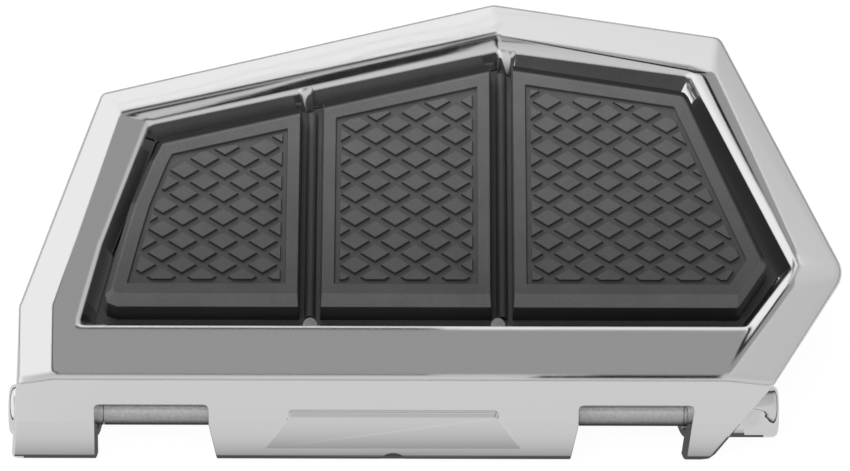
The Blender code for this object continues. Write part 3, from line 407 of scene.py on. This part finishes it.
def steel(name, hex_colour, roughness, metallic=1.0, low_shade_share=1.0):
    """Steel or bronze with a faint haze of handling. Metallic drops below 1 where a film of oxide dulls it.
    Painted shade darkens it low down on a part of the hinge, to the share of its brightness that the last
    argument gives, and a painted highlight brightens its top."""
    made, tree = blank_material(name)
    place = add_node(tree, "ShaderNodeTexCoord").outputs["Object"]
    haze = add_node(
        tree,
        "ShaderNodeTexNoise",
        {"Scale": 1.0 / HANDLING_MARK, "Detail": 5.0, "Roughness": 0.6},
        {"Vector": place},
    )
    rough = add_node(
        tree,
        "ShaderNodeMapRange",
        {"From Min": 0.3, "From Max": 0.7, "To Min": roughness * 0.8, "To Max": roughness * 1.2},
        {"Value": haze.outputs["Fac"]},
    )
    mottle = add_node(
        tree,
        "ShaderNodeMapRange",
        {"From Min": 0.3, "From Max": 0.7, "To Min": 0.82, "To Max": 1.08},
        {"Value": haze.outputs["Fac"]},
    )
    height = add_node(tree, "ShaderNodeSeparateXYZ", None, {0: place}).outputs["Z"]
    # Painted shade low down on the hinge parts, and a painted highlight on their tops
    film = add_node(
        tree,
        "ShaderNodeMapRange",
        {"From Min": PAINTED_SHADE_Z, "From Max": PAINTED_HIGHLIGHT_Z, "To Min": low_shade_share, "To Max": PAINTED_HIGHLIGHT},
        {"Value": height},
    )
    brightness = add_node(
        tree,
        "ShaderNodeMath",
        {"operation": "MULTIPLY"},
        {0: mottle.outputs["Result"], 1: film.outputs["Result"]},
    )
    colour = add_node(
        tree,
        "ShaderNodeVectorMath",
        {"operation": "SCALE", 0: linear(hex_colour)[:3]},
        {"Scale": brightness.outputs[0]},
    )
    shader = add_node(
        tree,
        "ShaderNodeBsdfPrincipled",
        {"Metallic": metallic},
        {"Base Color": colour.outputs[0], "Roughness": rough.outputs["Result"]},
    )
    add_node(tree, "ShaderNodeOutputMaterial", None, {"Surface": shader.outputs["BSDF"]})
    return made


def solid_of(node):
    """Merged copy of a CAD node's mesh with its coplanar triangles joined."""
    model = bmesh.new()
    model.from_mesh(frame["nodes"][node].data)
    bmesh.ops.remove_doubles(model, verts=model.verts, dist=MERGE_DISTANCE)
    bmesh.ops.dissolve_limit(
        model, angle_limit=SAME_PLANE, verts=model.verts, edges=model.edges, use_dissolve_boundaries=False
    )
    return model


def finished(name, model, node, body, material, crease):
    """Closes a piece that stands for a CAD node. Edges that turn by more than the crease angle stay sharp,
    and on the front of the skirt all edges do, so that its raised panel keeps flat faces."""
    model.edges.index_update()
    panel_edges = []
    for edge in model.edges:
        facing = [face.normal.y < -FRONT_FACING for face in edge.link_faces]
        if all(facing) and edge.calc_face_angle(0.0) > FLAT_ANGLE:
            panel_edges.append(edge.index)
    mesh = bpy.data.meshes.new(name)
    model.to_mesh(mesh)
    model.free()
    mesh.materials.append(material)
    piece = bpy.data.objects.new(name, mesh)
    bpy.context.scene.collection.objects.link(piece)
    mesh.shade_smooth()
    mesh.set_sharp_from_angle(angle=math.radians(crease))
    for edge in panel_edges:
        mesh.edges[edge].use_edge_sharp = True
    weighted = piece.modifiers.new("flats", "WEIGHTED_NORMAL")
    weighted.keep_sharp = True
    weighted.weight = 100
    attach(piece, body)
    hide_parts(node)


def boss_piece(name, model, material, rounding):
    """Rounds the edges of a boss shape of the casting, and puts it in the scene as a piece of the board."""
    bmesh.ops.recalc_face_normals(model, faces=model.faces)
    sharp = [edge for edge in model.edges if edge.calc_face_angle(0.0) > SHARP_BOSS_EDGE]
    bmesh.ops.bevel(
        model, geom=sharp, affect="EDGES", offset=rounding, segments=3, profile=0.5, material=-1
    )
    mesh = bpy.data.meshes.new(name)
    model.to_mesh(mesh)
    model.free()
    mesh.materials.append(material)
    mesh.shade_smooth()
    mesh.set_sharp_from_angle(angle=BOSS_CREASE)
    piece = bpy.data.objects.new(name, mesh)
    bpy.context.scene.collection.objects.link(piece)
    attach(piece, "board")


def groove_pads():
    """Half-round pads of the casting that the front ends of the mat's grooves meet, left as cast."""
    model = bmesh.new()
    tall = PAD_TOP_Z - MAT_WEB_Z
    for x in PAD_X:
        place = Matrix.Translation((x, PAD_WALL_Y, MAT_WEB_Z + tall / 2))
        bmesh.ops.create_cone(
            model,
            cap_ends=True,
            segments=PAD_SIDES,
            radius1=PAD_FOOT_RADIUS,
            radius2=PAD_RADIUS,
            depth=tall,
            matrix=place @ Matrix.Diagonal((1.0, PAD_STRETCH, 1.0, 1.0)),
        )
    bmesh.ops.bisect_plane(
        model,
        geom=[*model.verts, *model.edges, *model.faces],
        plane_co=(0.0, PAD_WALL_Y, 0.0),
        plane_no=(0.0, -1.0, 0.0),
        clear_outer=True,
    )
    bmesh.ops.holes_fill(model, edges=[edge for edge in model.edges if edge.is_boundary])
    boss_piece("groove_pads", model, as_cast_aluminium(), PAD_ROUNDING)


def groove_ramps():
    """Chromed wedges of the casting that come down from its wall into the back ends of the mat's grooves."""
    model = bmesh.new()
    tall = RAMP_TOP_Z - MAT_WEB_Z
    for x, y, turn, width, foot_width in RAMPS:
        corners = bmesh.ops.create_cube(model, size=1.0)["verts"]
        bmesh.ops.scale(model, vec=(width, RAMP_ROOT, tall), verts=corners)
        foot = [corner for corner in corners if corner.co.z < 0.0]
        bmesh.ops.scale(model, vec=(foot_width / width, 1.0, 1.0), verts=foot)
        toe = [corner for corner in foot if corner.co.y < 0.0]
        bmesh.ops.translate(model, vec=(0.0, -RAMP_REACH, 0.0), verts=toe)
        place = Matrix.Translation((x, y, MAT_WEB_Z + tall / 2))
        turned = place @ Matrix.Rotation(math.radians(turn), 4, "Z")
        bmesh.ops.transform(model, matrix=turned, verts=corners)
    boss_piece("groove_ramps", model, FINISHES["chromed_casting"], RAMP_ROUNDING)


def sheet(name, x_range, y_range, z):
    """Object of one level face."""
    model = bmesh.new()
    middle = Matrix.Translation((sum(x_range) / 2, sum(y_range) / 2, z))
    size = Matrix.Diagonal((x_range[1] - x_range[0], y_range[1] - y_range[0], 1.0, 1.0))
    bmesh.ops.create_grid(model, x_segments=1, y_segments=1, size=0.5, matrix=middle @ size)
    mesh = bpy.data.meshes.new(name)
    model.to_mesh(mesh)
    model.free()
    laid = bpy.data.objects.new(name, mesh)
    bpy.context.scene.collection.objects.link(laid)
    return laid


def card(name, x_range, y_range, tone, far_tone=None, z=CARD_Z, bend=1.0):
    """Studio card that only the polished faces mirror. Its tone may change from the near to the far edge,
    later the more the change is bent."""
    hung = sheet(name, x_range, y_range, z)
    made, tree = blank_material(name)
    place = add_node(tree, "ShaderNodeTexCoord").outputs["Object"]
    along = add_node(tree, "ShaderNodeSeparateXYZ", None, {0: place})
    share = add_node(
        tree,
        "ShaderNodeMapRange",
        {"From Min": y_range[0], "From Max": y_range[1]},
        {"Value": along.outputs["Y"]},
    )
    bent = add_node(tree, "ShaderNodeMath", {"operation": "POWER", 1: bend}, {0: share.outputs["Result"]})
    change = add_node(
        tree,
        "ShaderNodeMapRange",
        {"To Min": tone, "To Max": tone if far_tone is None else far_tone},
        {"Value": bent.outputs[0]},
    )
    glow = add_node(tree, "ShaderNodeEmission", {"Color": WHITE}, {"Strength": change.outputs["Result"]})
    add_node(tree, "ShaderNodeOutputMaterial", None, {"Surface": glow.outputs["Emission"]})
    hung.data.materials.append(made)
    hung.visible_camera = False
    hung.visible_diffuse = False
    hung.visible_shadow = False
    hung.visible_transmission = False


def floor_sheet():
    """White floor: pure white to the camera, light grey in mirror faces, and it keeps the board's shadow."""
    width = (-FLOOR_HALF_WIDTH, FLOOR_HALF_WIDTH)
    floor = sheet("studio_floor", width, width, FLOOR_Z)
    made, tree = blank_material("studio_floor")
    matt = add_node(tree, "ShaderNodeBsdfDiffuse", {"Color": (0.8, 0.8, 0.8, 1.0)})
    ray = add_node(tree, "ShaderNodeLightPath")
    strength = add_node(
        tree,
        "ShaderNodeMapRange",
        {"To Min": FLOOR_WHITE, "To Max": FLOOR_IN_MIRRORS},
        {"Value": ray.outputs["Is Glossy Ray"]},
    )
    glow = add_node(tree, "ShaderNodeEmission", {"Color": WHITE}, {"Strength": strength.outputs["Result"]})
    seen = add_node(
        tree,
        "ShaderNodeMath",
        {"operation": "MAXIMUM"},
        {0: ray.outputs["Is Camera Ray"], 1: ray.outputs["Is Transmission Ray"]},
    )
    shown = add_node(
        tree,
        "ShaderNodeMath",
        {"operation": "MAXIMUM"},
        {0: seen.outputs[0], 1: ray.outputs["Is Glossy Ray"]},
    )
    share = add_node(
        tree, "ShaderNodeMath", {"operation": "MULTIPLY", 1: FLOOR_GLOW_SHARE}, {0: shown.outputs[0]}
    )
    mix = add_node(
        tree, "ShaderNodeMixShader", None, {0: share.outputs[0], 1: matt.outputs[0], 2: glow.outputs[0]}
    )
    add_node(tree, "ShaderNodeOutputMaterial", None, {"Surface": mix.outputs[0]})
    floor.data.materials.append(made)


def studio_walls():
    """World: white to the camera, soft and even for the light on the board, and for mirror faces a white
    room that darkens to the right, is light grey in front and has a dark skirting round its foot."""
    world = bpy.data.worlds.new("studio")
    world.use_nodes = True
    tree = world.node_tree
    tree.nodes.clear()
    way = add_node(tree, "ShaderNodeTexCoord").outputs["Generated"]
    parts = add_node(tree, "ShaderNodeSeparateXYZ", None, {0: way})

    # Back wall, from white on the left to grey on the right, and the greyer front wall
    back_wall = add_node(
        tree,
        "ShaderNodeMapRange",
        {"From Min": -0.06, "From Max": 0.36, "To Min": 1.03, "To Max": 0.62},
        {"Value": parts.outputs["X"]},
    )
    front_wall = add_node(
        tree,
        "ShaderNodeMapRange",
        {"From Min": -0.3, "From Max": 0.3, "To Min": 0.7, "To Max": 0.6},
        {"Value": parts.outputs["Y"]},
    )

    # The back wall's tone goes round to the left wall too
    behind = add_node(
        tree, "ShaderNodeMapRange", {"From Min": 0.4, "From Max": 0.55}, {"Value": parts.outputs["Y"]}
    )
    leftward = add_node(
        tree, "ShaderNodeMapRange", {"From Min": -0.3, "From Max": -0.5}, {"Value": parts.outputs["X"]}
    )
    either = add_node(
        tree,
        "ShaderNodeMath",
        {"operation": "MAXIMUM"},
        {0: behind.outputs["Result"], 1: leftward.outputs["Result"]},
    )
    walls = add_node(
        tree,
        "ShaderNodeMix",
        {"data_type": "FLOAT"},
        {0: either.outputs[0], 2: front_wall.outputs["Result"], 3: back_wall.outputs["Result"]},
    )
    skirting = add_node(
        tree,
        "ShaderNodeMapRange",
        {"From Min": 0.08, "From Max": 0.34, "To Min": 0.04, "To Max": 1.0},
        {"Value": parts.outputs["Z"]},
    )
    tone = add_node(
        tree,
        "ShaderNodeMath",
        {"operation": "MULTIPLY"},
        {0: walls.outputs[0], 1: skirting.outputs["Result"]},
    )

    ray = add_node(tree, "ShaderNodeLightPath")
    mirrored = add_node(tree, "ShaderNodeBackground", {"Color": WHITE}, {"Strength": tone.outputs[0]})
    white = add_node(tree, "ShaderNodeBackground", {"Color": WHITE, "Strength": 1.0})
    soft = add_node(tree, "ShaderNodeBackground", {"Color": WHITE, "Strength": 0.45})
    lit = add_node(
        tree,
        "ShaderNodeMixShader",
        None,
        {0: ray.outputs["Is Glossy Ray"], 1: soft.outputs[0], 2: mirrored.outputs[0]},
    )
    seen = add_node(
        tree,
        "ShaderNodeMath",
        {"operation": "MAXIMUM"},
        {0: ray.outputs["Is Camera Ray"], 1: ray.outputs["Is Transmission Ray"]},
    )
    studio = add_node(
        tree, "ShaderNodeMixShader", None, {0: seen.outputs[0], 1: lit.outputs[0], 2: white.outputs[0]}
    )
    add_node(tree, "ShaderNodeOutputWorld", None, {"Surface": studio.outputs[0]})
    bpy.context.scene.world = world


def softbox(name, place, width, depth, watts):
    """Area lamp that faces the board and that the polished faces don't mirror."""
    data = bpy.data.lights.new(name, "AREA")
    data.shape = "RECTANGLE"
    data.size = width
    data.size_y = depth
    data.energy = watts
    lamp = bpy.data.objects.new(name, data)
    lamp.location = place
    lamp.rotation_euler = (Vector(place) - AIM).to_track_quat("Z", "Y").to_euler()
    lamp.visible_glossy = False
    bpy.context.scene.collection.objects.link(lamp)


def set_camera():
    """The photograph's camera."""
    data = bpy.data.cameras.new("camera")
    data.sensor_width = SENSOR_WIDTH
    data.lens = SENSOR_WIDTH * FOCAL_PIXELS / IMAGE_WIDTH
    data.clip_end = 20.0
    camera = bpy.data.objects.new("camera", data)
    elevation = math.radians(ELEVATION_DEG)
    back = Vector((0.0, -math.cos(elevation), math.sin(elevation)))
    camera.location = AIM + back * DISTANCE
    level = back.to_track_quat("Z", "Y").to_matrix().to_4x4()
    rolled = level @ Matrix.Rotation(math.radians(ROLL_DEG), 4, "Z")
    camera.rotation_euler = rolled.to_euler()
    bpy.context.scene.collection.objects.link(camera)
    bpy.context.scene.camera = camera


FINISHES = {
    "chromed_casting": chrome_plate(),
    "moulded_rubber": moulded_rubber(),
    "plate_steel": steel("rolled_plate_steel", "8C8C8E", 0.4),
    "zinc_plated_steel": steel("zinc_plated_steel", "B4B4B2", 0.3),
    # The sleeve's steel gets strong painted shade on its lower part
    "drawn_steel": steel("drawn_steel", "F0F0F0", 0.42, metallic=0.5, low_shade_share=0.12),
    "spring_steel": steel("spring_steel", "6E6E70", 0.35),
    "sintered_bronze": steel("sintered_bronze", "A07C4C", 0.45),
}

for piece_name, node_name, slot_name, crease in (
    ("casting", "frame_casting", "chromed_casting", 35.0),
    ("mat", "tread_mat", "moulded_rubber", 12.0),
):
    finished(piece_name, solid_of(node_name), node_name, "board", FINISHES[slot_name], crease)

for part in frame["record"]["subparts"]:
    node = frame["nodes"][part["node"]]
    node.data.materials.clear()
    node.data.materials.append(FINISHES[part["material_slot"]])

groove_pads()
groove_ramps()

# Cards that the front and left flats inside the ridge mirror: a grey one, and black ones round it
card("grey_card", (-0.215, 0.42), (0.60, 1.00), 0.36)
card("black_card_behind_grey", (-0.28, 0.02), (1.00, 1.44), 0.04)
card("black_card_before_grey", (-0.25, 0.01), (0.42, 0.60), 0.03)
card("black_card_before_grey_right", (0.09, 0.20), (0.42, 0.60), 0.03)
card("black_card_left", (-0.32, -0.215), (0.60, 0.80), 0.02)

# Card that the back left flat inside the ridge mirrors
card("black_card_overhead", (0.065, 0.165), (-0.55, 0.40), 0.03)

# Strips that give the outer bands their faint lines and their dark and white edges
card("faint_strip_back", (-0.40, 0.20), (1.60, 1.612), 0.84)
card("faint_strip_middle", (-0.35, 0.12), (1.53, 1.55), 0.8)
card("dark_strip_right", (0.42, 0.455), (0.80, 1.30), 0.22)
card("white_strip_right", (0.455, 0.50), (0.80, 1.30), 1.2)

# Shade under the board, and where it fades out before the skirt's foot
card("under_board_shade", (-0.118, 0.118), (-0.0125, 0.13), 0.10, z=SHADE_Z)
card("foot_shade", (-0.122, 0.112), (-0.036, -0.0125), 0.72, far_tone=0.05, z=SHADE_Z, bend=2.6)

floor_sheet()
studio_walls()
softbox("back_left_softbox", (-0.3, 0.7, 0.5), width=0.6, depth=0.4, watts=5.0)
softbox("overhead_softbox", (-0.3, -0.3, 1.3), width=1.2, depth=1.0, watts=10.0)
set_camera()
bpy.context.scene.view_settings.view_transform = "Standard"
